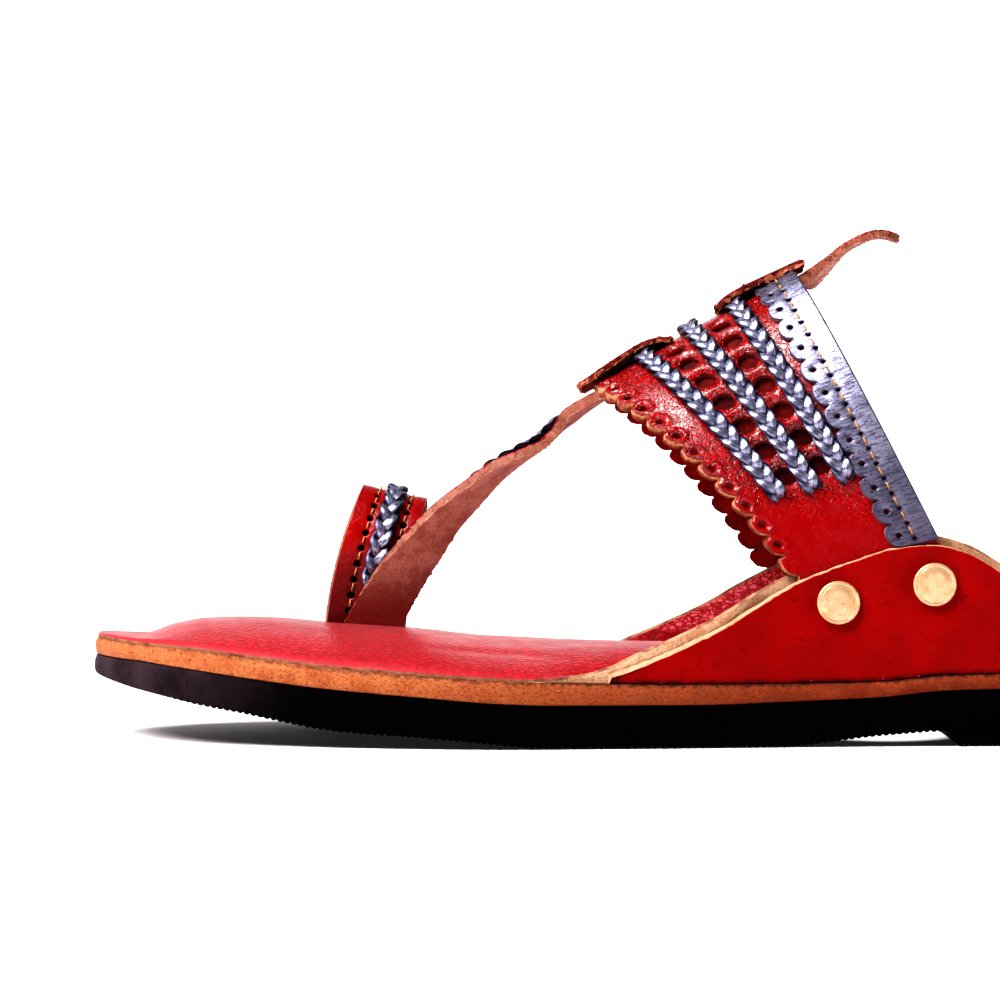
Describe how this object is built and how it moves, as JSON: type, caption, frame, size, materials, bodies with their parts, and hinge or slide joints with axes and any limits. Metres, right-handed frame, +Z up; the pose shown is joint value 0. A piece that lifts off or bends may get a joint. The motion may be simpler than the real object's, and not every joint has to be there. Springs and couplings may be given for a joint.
{
  "type": "kolhapuri sandal",
  "caption": "Red leather toe-ring sandal with T-strap, punched and plaited instep band, riveted side ears, padded insole, tan midsole and black rubber sole with a low heel lift",
  "frame": {"origin": "on the floor under the middle of the sole's length and width", "axes": "+X from toe to heel, -Y towards the outer (lateral) side of the foot, +Z up"},
  "size_m": [0.255, 0.088, 0.1117],
  "materials": {
    "rubber": "matt black moulded rubber",
    "midsole_leather": "bare cut edge of thick tan leather",
    "red_leather": "glossy red grain leather",
    "silver_leather": "foiled silver leather",
    "brass": "polished flat caps"
  },
  "bodies": {
    "root": {"outsole": "rubber", "heel_lift": "rubber", "midsole": "midsole_leather", "insole": "red_leather", "ear_lateral": "red_leather", "ear_medial": "red_leather", "upper": "red_leather", "rear_trim": "silver_leather", "braid_front": "silver_leather", "braid_middle": "silver_leather", "braid_rear": "silver_leather", "braid_ring": "silver_leather", "braid_tstrap": "silver_leather", "rivet_lateral_front": "brass", "rivet_lateral_rear": "brass", "rivet_medial_front": "brass", "rivet_medial_rear": "brass"}
  },
  "joints": []
}
